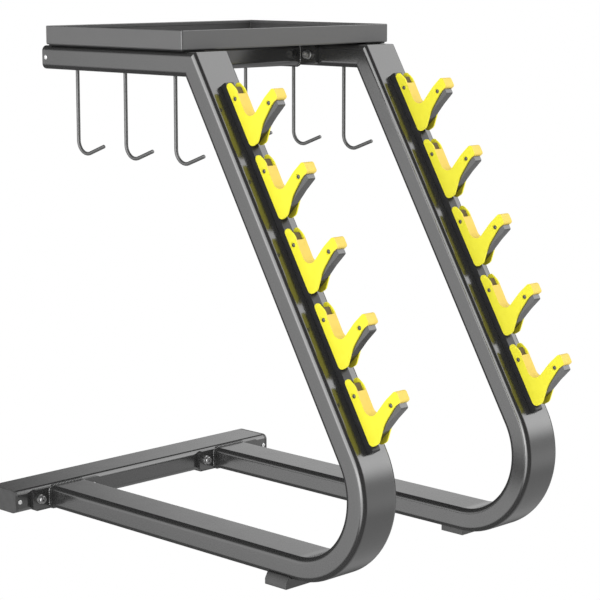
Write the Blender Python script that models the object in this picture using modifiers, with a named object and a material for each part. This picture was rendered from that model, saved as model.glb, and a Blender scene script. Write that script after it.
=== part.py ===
"""A-frame style bar and handle rack: two bent-tube side frames, five V cradles on each, a top tray and hooks.

Metres, +Z up. X runs across the rack, and +Y points to the rear. The origin is on the floor, at the middle of
the rack's bounding box. The left side is -X.
"""

import math

import bmesh
import bpy
from mathutils import Matrix, Vector

# ---------------------------------------------------------------- driving dimensions

CLEARANCE = 0.0003
WELD = 0.0001

TUBE_WIDTH = 0.100
TUBE_DEPTH = 0.050
TUBE_CORNER = 0.012
TUBE_WALL = 0.003
CORNER_STEPS = 2

FRAME_SPACING = 0.500
LEAN = math.radians(30.556)
BEND_OUTER_RADIUS = 0.1844
BEND_STEPS = 16
RAIL_UNDERSIDE = 0.019
TOP_RAIL_TOP = 1.0447
BASE_LENGTH = 1.0636
FRONT_BEND_Y = -0.5026
MITRE_REACH = 0.4

BEAM_HALF_LENGTH = 0.3873
BEAM_CAP = 0.007
CAP_PLUG = 0.010
FLANGE_THICKNESS = 0.010
FLANGE_HEIGHT = 0.045
FLANGE_CORNER = 0.006
LOWER_FLANGE_HALF = 0.096
LOWER_BOLT_OFFSET = 0.0755

TOP_RAIL_REAR_Y = 0.4443
CROSS_FRONT_Y = 0.1474
UPPER_FLANGE_HALF = 0.095
UPPER_BOLT_OFFSET = 0.073

BOLT_HEAD_RADIUS = 0.010
BOLT_HEAD_HEIGHT = 0.011
BOLT_SHANK_RADIUS = 0.005
BOLT_SHANK_OVERLAP = 0.004
BOLT_RIM = 0.0012
BOLT_REACH = 0.012
HOLE_OVERSHOOT = 0.005
BOLT_HOLE_DEPTH = 0.020
SCREW_HEAD_RADIUS = 0.0048
SCREW_HEAD_HEIGHT = 0.0018
SCREW_SHANK_RADIUS = 0.0018
SCREW_RIM = 0.0006
SCREW_REACH = 0.008
SCREW_HOLE_DEPTH = 0.009
SCREW_HOLE_OVERSHOOT = 0.002

TRAY_HALF_WIDTH = 0.3043
TRAY_FRONT_Y = -0.0086
TRAY_REAR_Y = 0.4258
TRAY_HEIGHT = 0.0397
TRAY_LIFT = 0.0028
TRAY_SHEET = 0.0015
TRAY_CORNER = 0.003
TRAY_RUNNER_WIDTH = 0.060
TRAY_RUNNER_SETBACK = 0.004
MAT_THICKNESS = 0.003
MAT_MARGIN = 0.002
MAT_EDGE = 0.0008

HOOK_RODS_Y = (0.0724, 0.2295, 0.3870)
HOOK_RADIUS = 0.004
HOOK_DROP = 0.1807
HOOK_BEND = 0.0285
HOOK_RISE = math.radians(20.5)
HOOK_TIP_LENGTH = 0.0503
HOOK_BEND_STEPS = 9

STRIP_WIDTH = 0.022
STRIP_THICKNESS = 0.015
STRIP_LOW_U = 0.321
STRIP_HIGH_U = 1.115
STRIP_EDGE = 0.001

CRADLE_COUNT = 5
CRADLE_TOP_U = 1.0750
CRADLE_PITCH = 0.15976
SADDLE_WIDTH = 0.027
CORE_WIDTH = 0.020

FRONT_FOOT_SETBACK = 0.198
FRONT_FOOT_LENGTH = 0.060
FRONT_FOOT_INNER_X = 0.229
FRONT_FOOT_OUTER_X = 0.309
FRONT_FOOT_FLANK = 0.012
FRONT_FOOT_LIP_X = 0.3015
REAR_FOOT_HALF = 0.048
REAR_FOOT_LENGTH = 0.055
REAR_FOOT_SETBACK = 0.0056
REAR_FOOT_EDGE = 0.003

# ---------------------------------------------------------------- worked-out places

FRAME_X = FRAME_SPACING / 2
BEND_CENTRE = Vector((0, FRONT_BEND_Y + BEND_OUTER_RADIUS, RAIL_UNDERSIDE + BEND_OUTER_RADIUS))
BEND_ANGLE = math.pi / 2 + LEAN
UP = Vector((0, math.sin(LEAN), math.cos(LEAN)))
OUT = Vector((0, -math.cos(LEAN), math.sin(LEAN)))
FACE_START = BEND_CENTRE + OUT * BEND_OUTER_RADIUS
FACE_FOOT = FACE_START - UP * ((FACE_START.z - RAIL_UNDERSIDE) / UP.z)
REAR_Y = FRONT_BEND_Y + BASE_LENGTH
BEAM_FRONT_Y = REAR_Y - TUBE_WIDTH
TOP_RAIL_BOTTOM = TOP_RAIL_TOP - TUBE_DEPTH
TOP_RAIL_MIDDLE = TOP_RAIL_TOP - TUBE_DEPTH / 2
RAIL_MIDDLE = RAIL_UNDERSIDE + TUBE_DEPTH / 2
FRAME_REAR_Y = BEAM_FRONT_Y - FLANGE_THICKNESS - 2 * CLEARANCE
CROSS_MIDDLE_Y = CROSS_FRONT_Y + TUBE_WIDTH / 2
INNER_FACE_X = FRAME_X - TUBE_WIDTH / 2
TRAY_BOTTOM = TOP_RAIL_TOP + TRAY_LIFT


def on_upright(x, along, out):
    """A point on an upright: its distance along the front face, and its height over that face."""
    point = FACE_FOOT + UP * along + OUT * out
    return Vector((x, point.y, point.z))


MITRE_POINT = on_upright(0, (TOP_RAIL_TOP - FACE_FOOT.z) / UP.z, 0)
MITRE_NORMAL = (UP + Vector((0, 1, 0))).normalized()

# ---------------------------------------------------------------- scene and materials

for old in list(bpy.data.objects):
    bpy.data.objects.remove(old)

PARTS = bpy.data.collections.new("bar_and_handle_rack")
CUTTERS = bpy.data.collections.new("cutters")
bpy.context.scene.collection.children.link(PARTS)
bpy.context.scene.collection.children.link(CUTTERS)
RACK = bpy.data.objects.new("rack_origin", None)
PARTS.objects.link(RACK)

FINISHES = {
    "frame_paint": ((0.17, 0.17, 0.18), 0.25, 0.85),
    "tray_paint": ((0.13, 0.13, 0.14), 0.35, 0.60),
    "yellow_urethane": ((0.95, 0.82, 0.03), 0.40, 0.00),
    "cradle_paint": ((0.12, 0.12, 0.12), 0.45, 0.50),
    "black_plastic": ((0.02, 0.02, 0.02), 0.45, 0.00),
    "rubber": ((0.03, 0.03, 0.03), 0.75, 0.00),
    "hook_steel": ((0.10, 0.10, 0.11), 0.35, 0.70),
    "bolt_steel": ((0.05, 0.05, 0.05), 0.35, 0.80),
    "screw_steel": ((0.60, 0.60, 0.60), 0.25, 1.00),
}


def material(name):
    colour, roughness, metallic = FINISHES[name]
    made = bpy.data.materials.get(name)
    if made is None:
        made = bpy.data.materials.new(name)
        made.use_nodes = True
        shader = made.node_tree.nodes["Principled BSDF"]
        shader.inputs["Base Color"].default_value = (*colour, 1)
        shader.inputs["Roughness"].default_value = roughness
        shader.inputs["Metallic"].default_value = metallic
        made.diffuse_color = (*colour, 1)
    return made


# ---------------------------------------------------------------- modelling helpers


def add_part(name, mesh, finish, matrix=None):
    """A finished sub-part with its own material, parented to the rack's origin."""
    mesh.materials.clear()
    mesh.materials.append(material(finish))
    obj = bpy.data.objects.new(name, mesh)
    PARTS.objects.link(obj)
    obj.parent = RACK
    if matrix is not None:
        obj.matrix_world = matrix
    mesh.shade_smooth()
    mesh.set_sharp_from_angle(angle=math.radians(35))
    return obj


def add_cutter(name, mesh, matrix=None):
    obj = bpy.data.objects.new(name, mesh)
    CUTTERS.objects.link(obj)
    obj.hide_render = True
    obj.display_type = "WIRE"
    if matrix is not None:
        obj.matrix_world = matrix
    return obj


def cut(obj, cutter, operation="DIFFERENCE"):
    boolean = obj.modifiers.new(cutter.name, "BOOLEAN")
    boolean.operation = operation
    boolean.object = cutter


def baked_mesh(obj):
    """The object's evaluated mesh with its curve caps welded. The object is removed."""
    bpy.context.view_layer.update()
    graph = bpy.context.evaluated_depsgraph_get()
    mesh = bpy.data.meshes.new_from_object(obj.evaluated_get(graph))
    bm = bmesh.new()
    bm.from_mesh(mesh)
    bmesh.ops.remove_doubles(bm, verts=bm.verts, dist=WELD)
    bm.to_mesh(mesh)
    bm.free()
    bpy.data.objects.remove(obj)
    return mesh


def mesh_from(bm, name):
    mesh = bpy.data.meshes.new(name)
    bmesh.ops.recalc_face_normals(bm, faces=bm.faces)
    bm.to_mesh(mesh)
    bm.free()
    return mesh


def box_mesh(name, low, high, bevel=0.0):
    """A box between two corners, with all its edges rounded where bevel is given."""
    low, high = Vector(low), Vector(high)
    bm = bmesh.new()
    bmesh.ops.create_cube(bm, size=1)
    bmesh.ops.scale(bm, vec=high - low, verts=bm.verts)
    bmesh.ops.translate(bm, vec=(low + high) / 2, verts=bm.verts)
    if bevel:
        bmesh.ops.bevel(bm, geom=bm.edges[:], offset=bevel, segments=1, profile=0.5, affect="EDGES")
    return mesh_from(bm, name)


def cylinder_mesh(name, radius, start, end, sides=16, bevel=0.0):
    """A cylinder between two points, with both rims rounded where bevel is given."""
    start, end = Vector(start), Vector(end)
    axis = end - start
    bm = bmesh.new()
    bmesh.ops.create_cone(
        bm, cap_ends=True, segments=sides, radius1=radius, radius2=radius, depth=axis.length
    )
    if bevel:
        rims = [edge for edge in bm.edges if abs(edge.verts[0].co.z - edge.verts[1].co.z) < WELD]
        bmesh.ops.bevel(bm, geom=rims, offset=bevel, segments=1, profile=0.5, affect="EDGES")
    turn = axis.to_track_quat("Z", "Y").to_matrix().to_4x4()
    bmesh.ops.transform(bm, matrix=Matrix.Translation((start + end) / 2) @ turn, verts=bm.verts)
    return mesh_from(bm, name)


def rounded(corners, degrees_per_step=15):
    """An outline from (a, b, radius) corners: each sharp corner becomes a tangent arc."""
    points = []
    for index, (a, b, radius) in enumerate(corners):
        here = Vector((a, b))
        before = (Vector(corners[index - 1][:2]) - here).normalized()
        after = (Vector(corners[(index + 1) % len(corners)][:2]) - here).normalized()
        half = before.angle(after) / 2
        if radius == 0:
            points.append(here)
            continue
        centre = here + (before + after).normalized() * (radius / math.sin(half))
        start = here + before * (radius / math.tan(half)) - centre
        sweep = (math.pi - 2 * half) * (-1 if before.cross(after) > 0 else 1)
        steps = max(1, round(abs(math.degrees(sweep)) / degrees_per_step))
        for step in range(steps + 1):
            angle = sweep * step / steps
            turned = Vector((
                start.x * math.cos(angle) - start.y * math.sin(angle),
                start.x * math.sin(angle) + start.y * math.cos(angle),
            ))
            points.append(centre + turned)
    return points


def rectangle(width, depth, corner):
    """The corners of a rounded rectangle about its middle."""
    a, b = width / 2, depth / 2
    return [(-a, -b, corner), (a, -b, corner), (a, b, corner), (-a, b, corner)]


def plate_mesh(name, outline, thickness, matrix=None, holes=()):
    """A flat outline with any holes, extruded evenly to both sides of its own plane."""
    curve = bpy.data.curves.new(name, "CURVE")
    curve.dimensions = "2D"
    curve.fill_mode = "BOTH"
    curve.extrude = thickness / 2
    for loop in (outline, *holes):
        spline = curve.splines.new("POLY")
        spline.points.add(len(loop) - 1)
        for point, (a, b) in zip(spline.points, loop):
            point.co = (a, b, 0, 1)
        spline.use_cyclic_u = True
    obj = bpy.data.objects.new(name, curve)
    CUTTERS.objects.link(obj)
    mesh = baked_mesh(obj)
    if matrix is not None:
        mesh.transform(matrix)
    bpy.data.curves.remove(curve)
    return mesh


def circle(a, b, radius, sides=16):
    """Points of a circle for a plate's hole."""
    turns = (math.tau * step / sides for step in range(sides))
    return [(a + radius * math.cos(turn), b + radius * math.sin(turn)) for turn in turns]


# Each of these planes takes an outline's two numbers to the named world axes.
PLANE_XZ = Matrix.Rotation(math.pi / 2, 4, "X")
PLANE_YZ = Matrix(((0, 0, 1, 0), (1, 0, 0, 0), (0, 1, 0, 0), (0, 0, 0, 1)))


def open_ring(bm, plane, place):
    """The edges of one tube section, on the given plane about the given place."""
    section = rounded(rectangle(TUBE_WIDTH, TUBE_DEPTH, TUBE_CORNER), 90 / CORNER_STEPS)
    verts = [bm.verts.new(Vector(place) + plane @ Vector((a, b, 0))) for a, b in section]
    return [bm.edges.new((verts[i - 1], verts[i])) for i in range(len(verts))]


def extruded_ring(bm, edges, vector):
    """Pulls a section's ring along the vector and returns the new ring."""
    made = bmesh.ops.extrude_edge_only(bm, edges=edges)["geom"]
    verts = [item for item in made if isinstance(item, bmesh.types.BMVert)]
    bmesh.ops.translate(bm, vec=vector, verts=verts)
    return [item for item in made if isinstance(item, bmesh.types.BMEdge)
            and item.verts[0] in verts and item.verts[1] in verts]


def add_tube(name, bm):
    """A hollow tube with open ends: the outer surface in bm, thickened inwards."""
    obj = add_part(name, mesh_from(bm, name), "frame_paint")
    wall = obj.modifiers.new("wall", "SOLIDIFY")
    wall.thickness = TUBE_WALL
    wall.offset = -1
    wall.use_even_offset = True
    return obj


def straight_tube(name, plane, start, vector):
    bm = bmesh.new()
    extruded_ring(bm, open_ring(bm, plane, start), vector)
    return add_tube(name, bm)


def mirrored_names(stem):
    """(name, side) for the left and right copies of a piece; side is -1 on the left."""
    return ((f"left_{stem}", -1), (f"right_{stem}", 1))


# ---------------------------------------------------------------- side frames and top rails


def mitre_cutter(name, keep_side):
    """A block on one side of the mitre plane between the uprights and the top rails."""
    low = -CLEARANCE / 2 if keep_side < 0 else -MITRE_REACH
    high = MITRE_REACH if keep_side < 0 else CLEARANCE / 2
    half = MITRE_REACH / 2
    mesh = box_mesh(name, (-FRAME_SPACING, -half, low), (FRAME_SPACING, half, high))
    tilt = Matrix.Rotation(-math.atan2(MITRE_NORMAL.y, MITRE_NORMAL.z), 4, "X")
    return add_cutter(name, mesh, Matrix.Translation(MITRE_POINT) @ tilt)


def add_side_frames():
    """Each side frame is one bent tube: bottom rail, front bend and leaning upright."""
    cutter = mitre_cutter("upright_mitre", -1)
    for name, side in mirrored_names("side_frame"):
        bm = bmesh.new()
        place = (side * FRAME_X, FRAME_REAR_Y, RAIL_MIDDLE)
        ring = open_ring(bm, PLANE_XZ, place)
        ring = extruded_ring(bm, ring, Vector((0, BEND_CENTRE.y - FRAME_REAR_Y, 0)))
        bent = bmesh.ops.spin(
            bm, geom=ring, cent=BEND_CENTRE, axis=(1, 0, 0), angle=-BEND_ANGLE, steps=BEND_STEPS
        )
        ring = [item for item in bent["geom_last"] if isinstance(item, bmesh.types.BMEdge)]
        extruded_ring(bm, ring, UP * (MITRE_POINT - FACE_START).dot(UP) * 1.05)
        bmesh.ops.remove_doubles(bm, verts=bm.verts, dist=WELD)
        cut(add_tube(name, bm), cutter)


def add_top_rails():
    cutter = mitre_cutter("rail_mitre", 1)
    rear = TOP_RAIL_REAR_Y - BEAM_CAP - CLEARANCE
    for name, side in mirrored_names("top_rail"):
        start = (side * FRAME_X, rear, TOP_RAIL_MIDDLE)
        rail = straight_tube(name, PLANE_XZ, start, Vector((0, MITRE_POINT.y - rear - TUBE_DEPTH, 0)))
        cut(rail, cutter)
        screw_y = rear - CAP_PLUG / 2
        face_x = side * (FRAME_X + TUBE_WIDTH / 2)
        hole = screw_hole(f"{name}_screw_hole", (face_x, screw_y, TOP_RAIL_MIDDLE), (side, 0, 0))
        cut(rail, hole)
        cap = end_cap(f"{name}_end_cap", (side * FRAME_X, rear, TOP_RAIL_MIDDLE), PLANE_XZ, Vector((0, 1, 0)))
        cut(cap, hole)


def end_cap(name, tube_end, plane, outward):
    """A plastic cap: a plate the size of the tube, and a plug that slides into the tube."""
    inside = 2 * (TUBE_WALL + CLEARANCE)
    plug_corner = TUBE_CORNER - TUBE_WALL - CLEARANCE
    face = rounded(rectangle(TUBE_WIDTH, TUBE_DEPTH, TUBE_CORNER), 90 / CORNER_STEPS)
    plate = plate_mesh(name, face, BEAM_CAP, plane)
    plate.transform(Matrix.Translation(Vector(tube_end) + outward * (CLEARANCE + BEAM_CAP / 2)))
    section = rounded(rectangle(TUBE_WIDTH - inside, TUBE_DEPTH - inside, plug_corner), 90 / CORNER_STEPS)
    depth = CAP_PLUG + BEAM_CAP / 2
    plug = plate_mesh(f"{name}_plug", section, depth, plane)
    plug.transform(Matrix.Translation(Vector(tube_end) + outward * (BEAM_CAP / 2 - depth / 2)))
    cap = add_part(name, plate, "black_plastic")
    cut(cap, add_cutter(f"{name}_plug", plug), "UNION")
    return cap


def screw_hole(name, seat, outward):
    """A bored hole for a small screw, from the tube's face inwards."""
    seat, outward = Vector(seat), Vector(outward)
    radius = SCREW_SHANK_RADIUS + CLEARANCE
    start, end = seat + outward * SCREW_HOLE_OVERSHOOT, seat - outward * SCREW_HOLE_DEPTH
    return add_cutter(name, cylinder_mesh(name, radius, start, end, 8))


def add_screw(name, seat, outward):
    """A round-head screw whose head sits on the tube's face."""
    seat, outward = Vector(seat), Vector(outward)
    low = seat + outward * CLEARANCE
    head = cylinder_mesh(name, SCREW_HEAD_RADIUS, low, low + outward * SCREW_HEAD_HEIGHT, 16, SCREW_RIM)
    shank_start = seat - outward * SCREW_REACH
    shank_end = low + outward * SCREW_HEAD_HEIGHT / 2
    shank = cylinder_mesh(f"{name}_shank", SCREW_SHANK_RADIUS, shank_start, shank_end, 8)
    screw = add_part(name, head, "screw_steel")
    cut(screw, add_cutter(f"{name}_shank", shank), "UNION")


def add_cap_screws():
    rear = TOP_RAIL_REAR_Y - BEAM_CAP - CLEARANCE
    for name, side in mirrored_names("rail_cap_screw"):
        face_x = side * (FRAME_X + TUBE_WIDTH / 2)
        add_screw(name, (face_x, rear - CAP_PLUG / 2, TOP_RAIL_MIDDLE), (side, 0, 0))
    for name, side in mirrored_names("beam_cap_screw"):
        add_screw(name, (beam_screw_x(side), BEAM_FRONT_Y, RAIL_MIDDLE), (0, -1, 0))


# ---------------------------------------------------------------- rear beam and bolted joints


def beam_screw_x(side):
    return side * (BEAM_HALF_LENGTH - BEAM_CAP - CLEARANCE - CAP_PLUG / 2)


def bolt_hole(name, seat, inward):
    seat, inward = Vector(seat), Vector(inward)
    radius = BOLT_SHANK_RADIUS + CLEARANCE
    start, end = seat - inward * HOLE_OVERSHOOT, seat + inward * BOLT_HOLE_DEPTH
    return add_cutter(name, cylinder_mesh(name, radius, start, end))


def add_bolt(name, seat, inward):
    """A cap-head bolt: the head is on the seat, and the shank runs inwards through two walls."""
    seat, inward = Vector(seat), Vector(inward)
    low = seat - inward * CLEARANCE
    head = cylinder_mesh(name, BOLT_HEAD_RADIUS, low, low - inward * BOLT_HEAD_HEIGHT, 20, BOLT_RIM)
    shank_end = seat + inward * (FLANGE_THICKNESS + TUBE_WALL + BOLT_REACH)
    shank_start = low - inward * BOLT_SHANK_OVERLAP
    shank = cylinder_mesh(f"{name}_shank", BOLT_SHANK_RADIUS, shank_start, shank_end, 16)
    bolt = add_part(name, head, "bolt_steel")
    cut(bolt, add_cutter(f"{name}_shank", shank), "UNION")


def add_rear_beam():
    end = BEAM_HALF_LENGTH - BEAM_CAP - CLEARANCE
    middle_y = REAR_Y - TUBE_WIDTH / 2
    beam = straight_tube("rear_base_beam", PLANE_YZ, (-end, middle_y, RAIL_MIDDLE), Vector((2 * end, 0, 0)))
    for name, side in mirrored_names("beam_end_cap"):
        hole = screw_hole(f"{name}_hole", (beam_screw_x(side), BEAM_FRONT_Y, RAIL_MIDDLE), (0, -1, 0))
        cut(beam, hole)
        cap = end_cap(name, (side * end, middle_y, RAIL_MIDDLE), PLANE_YZ, Vector((side, 0, 0)))
        cut(cap, hole)
    return beam


def add_flange(name, centre, plane, half_length, bolt_offset):
    """A rounded plate with two bolt holes on its long axis."""
    outline = rounded(rectangle(2 * half_length, FLANGE_HEIGHT, FLANGE_CORNER), 30)
    radius = BOLT_SHANK_RADIUS + CLEARANCE
    holes = [circle(-bolt_offset, 0, radius), circle(bolt_offset, 0, radius)]
    mesh = plate_mesh(name, outline, FLANGE_THICKNESS, plane, holes)
    mesh.transform(Matrix.Translation(centre))
    add_part(name, mesh, "frame_paint")


def add_lower_joints(beam):
    """Each bottom rail's end plate, bolted to the rear beam's front face."""
    seat_y = BEAM_FRONT_Y - FLANGE_THICKNESS - CLEARANCE
    for name, side in mirrored_names("lower_flange"):
        centre = Vector((side * FRAME_X, seat_y + FLANGE_THICKNESS / 2, RAIL_MIDDLE))
        add_flange(name, centre, PLANE_XZ, LOWER_FLANGE_HALF, LOWER_BOLT_OFFSET)
        for place, across in (("outer", side), ("inner", -side)):
            x = side * FRAME_X + across * LOWER_BOLT_OFFSET
            bolt = name.replace("flange", f"{place}_bolt")
            cut(beam, bolt_hole(f"{bolt}_hole", (x, seat_y, RAIL_MIDDLE), (0, 1, 0)))
            add_bolt(bolt, (x, seat_y, RAIL_MIDDLE), (0, 1, 0))


def add_cross_member():
    """The tube between the top rails, with an end plate bolted to each rail's inner face."""
    half = INNER_FACE_X - FLANGE_THICKNESS - 2 * CLEARANCE
    start = (-half, CROSS_MIDDLE_Y, TOP_RAIL_MIDDLE)
    straight_tube("top_cross_member", PLANE_YZ, start, Vector((2 * half, 0, 0)))
    for name, side in mirrored_names("upper_flange"):
        x = side * (INNER_FACE_X - CLEARANCE - FLANGE_THICKNESS / 2)
        centre = Vector((x, CROSS_MIDDLE_Y, TOP_RAIL_MIDDLE))
        add_flange(name, centre, PLANE_YZ, UPPER_FLANGE_HALF, UPPER_BOLT_OFFSET)
        rail = bpy.data.objects[f"{name.split('_')[0]}_top_rail"]
        seat_x = side * (INNER_FACE_X - CLEARANCE - FLANGE_THICKNESS)
        for place, along in (("front", -1), ("rear", 1)):
            seat = (seat_x, CROSS_MIDDLE_Y + along * UPPER_BOLT_OFFSET, TOP_RAIL_MIDDLE)
            bolt = name.replace("flange", f"{place}_bolt")
            cut(rail, bolt_hole(f"{bolt}_hole", seat, (side, 0, 0)))
            add_bolt(bolt, seat, (side, 0, 0))


# ---------------------------------------------------------------- tray and hooks


def add_tray():
    """An open sheet-metal tray on two runners that lie on the rails, and the mat on its floor."""
    low = Vector((-TRAY_HALF_WIDTH, TRAY_FRONT_Y, TRAY_BOTTOM))
    high = Vector((TRAY_HALF_WIDTH, TRAY_REAR_Y, TRAY_BOTTOM + TRAY_HEIGHT))
    bm = bmesh.new()
    bmesh.ops.create_cube(bm, size=1)
    bmesh.ops.scale(bm, vec=high - low, verts=bm.verts)
    bmesh.ops.translate(bm, vec=(low + high) / 2, verts=bm.verts)
    top = [face for face in bm.faces if face.normal.z > 0.9]
    bmesh.ops.delete(bm, geom=top, context="FACES_ONLY")
    folds = [edge for edge in bm.edges if len(edge.link_faces) == 2]
    bmesh.ops.bevel(bm, geom=folds, offset=TRAY_CORNER, segments=3, profile=0.5, affect="EDGES")
    tray = add_part("storage_tray", mesh_from(bm, "storage_tray"), "tray_paint")
    sheet = tray.modifiers.new("sheet", "SOLIDIFY")
    sheet.thickness = TRAY_SHEET
    sheet.offset = -1
    sheet.use_even_offset = True
    for side in (-1, 1):
        outer = side * (FRAME_X + TUBE_WIDTH / 2)
        inner = outer - side * TRAY_RUNNER_WIDTH
        runner = box_mesh(
            "tray_runner",
            (min(outer, inner), low.y + TRAY_RUNNER_SETBACK, TOP_RAIL_TOP + CLEARANCE),
            (max(outer, inner), high.y - TRAY_RUNNER_SETBACK, low.z + TRAY_SHEET / 2),
        )
        cut(tray, add_cutter("tray_runner", runner), "UNION")

    inset = TRAY_SHEET + TRAY_CORNER + MAT_MARGIN
    floor = TRAY_BOTTOM + TRAY_SHEET + CLEARANCE
    mat = box_mesh(
        "tray_mat",
        (low.x + inset, low.y + inset, floor),
        (high.x - inset, high.y - inset, floor + MAT_THICKNESS),
        MAT_EDGE,
    )
    add_part("tray_mat", mat, "rubber")


def hook_path():
    """The hook's centreline in (y, z) from its weld under the rail to its upturned tip."""
    bottom = TOP_RAIL_BOTTOM - HOOK_DROP
    path = [Vector((0, TOP_RAIL_BOTTOM - CLEARANCE)), Vector((0, bottom + HOOK_BEND))]
    for step in range(1, HOOK_BEND_STEPS + 1):
        turn = (math.pi / 2 + HOOK_RISE) * step / HOOK_BEND_STEPS
        path.append(Vector((
            -HOOK_BEND + HOOK_BEND * math.cos(turn),
            bottom + HOOK_BEND - HOOK_BEND * math.sin(turn),
        )))
    path.append(path[-1] + Vector((-math.cos(HOOK_RISE), math.sin(HOOK_RISE))) * HOOK_TIP_LENGTH)
    return path


def add_hooks():
    for stem, side in (("left", -1), ("right", 1)):
        for place, rod_y in zip(("front", "middle", "rear"), HOOK_RODS_Y):
            name = f"{stem}_{place}_hook"
            curve = bpy.data.curves.new(name, "CURVE")
            curve.dimensions = "3D"
            curve.bevel_depth = HOOK_RADIUS
            curve.bevel_resolution = 2
            curve.use_fill_caps = True
            spline = curve.splines.new("POLY")
            path = hook_path()
            spline.points.add(len(path) - 1)
            for point, (y, z) in zip(spline.points, path):
                point.co = (side * FRAME_X, rod_y + y, z, 1)
            obj = bpy.data.objects.new(name, curve)
            CUTTERS.objects.link(obj)
            add_part(name, baked_mesh(obj), "hook_steel")


# ---------------------------------------------------------------- cradles

# Outlines of a cradle, in metres, as (out from the upright's face, along the upright, corner radius).
# The along value counts from the cradle's upper screw.
SADDLE_OUTLINE = (
    (0.0156, 0.0325, 0.007),
    (0.0280, 0.0325, 0.008),
    (0.0372, 0.0130, 0.030),
    (0.0360, -0.0628, 0.019),
    (0.0970, -0.0398, 0.060),
    (0.1316, -0.0320, 0.007),
    (0.1316, -0.0568, 0.0045),
    (0.1120, -0.0592, 0.030),
    (0.0700, -0.0790, 0.080),
    (0.0385, -0.1065, 0.014),
    (0.0156, -0.1065, 0.011),
)
CORE_OUTLINE = (
    (0.0154, 0.0220, 0.003),
    (0.0316, 0.0220, 0.005),
    (0.0316, -0.0685, 0.021),
    (0.0970, -0.0443, 0.060),
    (0.1235, -0.0385, 0.003),
    (0.1235, -0.0690, 0.004),
    (0.0900, -0.0780, 0.0),
    (0.0500, -0.0920, 0.0),
    (0.0154, -0.1010, 0.003),
)
POCKET_OUTLINE = (
    (0.0050, 0.0500, 0.0),
    (0.0450, 0.0500, 0.0),
    (0.0450, 0.0025, 0.0),
    (0.0319, 0.0025, 0.0),
    (0.0319, -0.0682, 0.0207),
    (0.0970, -0.0440, 0.0597),
    (0.1238, -0.0382, 0.003),
    (0.1238, -0.1200, 0.0),
    (0.0050, -0.1200, 0.0),
)


def cradle_matrix(x, along):
    """Takes an outline's (out, along) numbers to the upright at this height."""
    place = on_upright(x, along, 0)
    return Matrix((
        (0, 0, -1, place.x),
        (OUT.y, UP.y, 0, place.y),
        (OUT.z, UP.z, 0, place.z),
        (0, 0, 0, 1),
    ))


def saddle_mesh():
    """The yellow liner: the outer block with the core's pocket cut out, open at the rear and below."""
    block = plate_mesh("saddle_block", rounded(SADDLE_OUTLINE, 24), SADDLE_WIDTH)
    pocket = plate_mesh("saddle_pocket", rounded(POCKET_OUTLINE, 24), CORE_WIDTH + 2 * CLEARANCE)
    obj = add_cutter("saddle_block", block)
    cut(obj, add_cutter("saddle_pocket", pocket))
    return baked_mesh(obj)


def add_cradles():
    core = plate_mesh("cradle_core", rounded(CORE_OUTLINE, 24), CORE_WIDTH)
    saddle = saddle_mesh()
    for stem, side in (("left", -1), ("right", 1)):
        for step in range(CRADLE_COUNT):
            place = cradle_matrix(side * FRAME_X, CRADLE_TOP_U - step * CRADLE_PITCH)
            add_part(f"{stem}_cradle_core_{step + 1}", core, "cradle_paint", place)
            add_part(f"{stem}_cradle_saddle_{step + 1}", saddle, "yellow_urethane", place)


def add_backing_strips():
    """The spacer strip that the cradles are fixed on, down the middle of each upright."""
    length = STRIP_HIGH_U - STRIP_LOW_U
    for name, side in mirrored_names("backing_strip"):
        low = Vector((CLEARANCE, -length / 2, -STRIP_WIDTH / 2))
        high = Vector((STRIP_THICKNESS, length / 2, STRIP_WIDTH / 2))
        mesh = box_mesh(name, low, high, STRIP_EDGE)
        place = cradle_matrix(side * FRAME_X, STRIP_LOW_U + length / 2)
        add_part(name, mesh, "black_plastic", place)


# ---------------------------------------------------------------- feet


def add_front_feet():
    """A moulded pad under each bottom rail that wraps the rail's outer lower corner."""
    front_y = FRONT_BEND_Y + FRONT_FOOT_SETBACK
    rear_y = front_y + FRONT_FOOT_LENGTH
    hug = TUBE_CORNER + CLEARANCE
    corner = Vector((FRAME_X + TUBE_WIDTH / 2 - TUBE_CORNER, RAIL_UNDERSIDE + TUBE_CORNER))
    angles = [math.radians(degrees) for degrees in (-29, -49, -69, -90)]
    arc = [corner + Vector((math.cos(angle), math.sin(angle))) * hug for angle in angles]
    outline = [
        Vector((FRONT_FOOT_INNER_X, 0)),
        Vector((FRONT_FOOT_OUTER_X, 0)),
        Vector((FRONT_FOOT_OUTER_X, FRONT_FOOT_FLANK)),
        Vector((FRONT_FOOT_LIP_X, arc[0].y)),
        *arc,
        Vector((FRONT_FOOT_INNER_X, RAIL_UNDERSIDE - CLEARANCE)),
    ]
    for name, side in mirrored_names("front_foot"):
        points = [(side * a, b) for a, b in outline]
        mesh = plate_mesh(name, points if side > 0 else points[::-1], rear_y - front_y, PLANE_XZ)
        mesh.transform(Matrix.Translation((0, (front_y + rear_y) / 2, 0)))
        add_part(name, mesh, "rubber")


def add_rear_feet():
    for name, side in mirrored_names("rear_foot"):
        rear_y = REAR_Y - REAR_FOOT_SETBACK
        low = (side * FRAME_X - REAR_FOOT_HALF, rear_y - REAR_FOOT_LENGTH, 0)
        high = (side * FRAME_X + REAR_FOOT_HALF, rear_y, RAIL_UNDERSIDE - CLEARANCE)
        add_part(name, box_mesh(name, low, high, REAR_FOOT_EDGE), "rubber")


# ---------------------------------------------------------------- assembly

add_side_frames()
add_top_rails()
add_lower_joints(add_rear_beam())
add_cross_member()
add_cap_screws()
add_tray()
add_hooks()
add_backing_strips()
add_cradles()
add_front_feet()
add_rear_feet()
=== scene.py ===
"""Looks of the bar and handle rack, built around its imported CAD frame.

Metres, in the frame's own axes: +X across the rack, +Y to the rear, +Z up. Every visible piece rides on the
frame's one body and takes its place from the CAD nodes' boxes.
"""

import math

import bmesh
import bpy
from mathutils import Matrix, Vector


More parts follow.
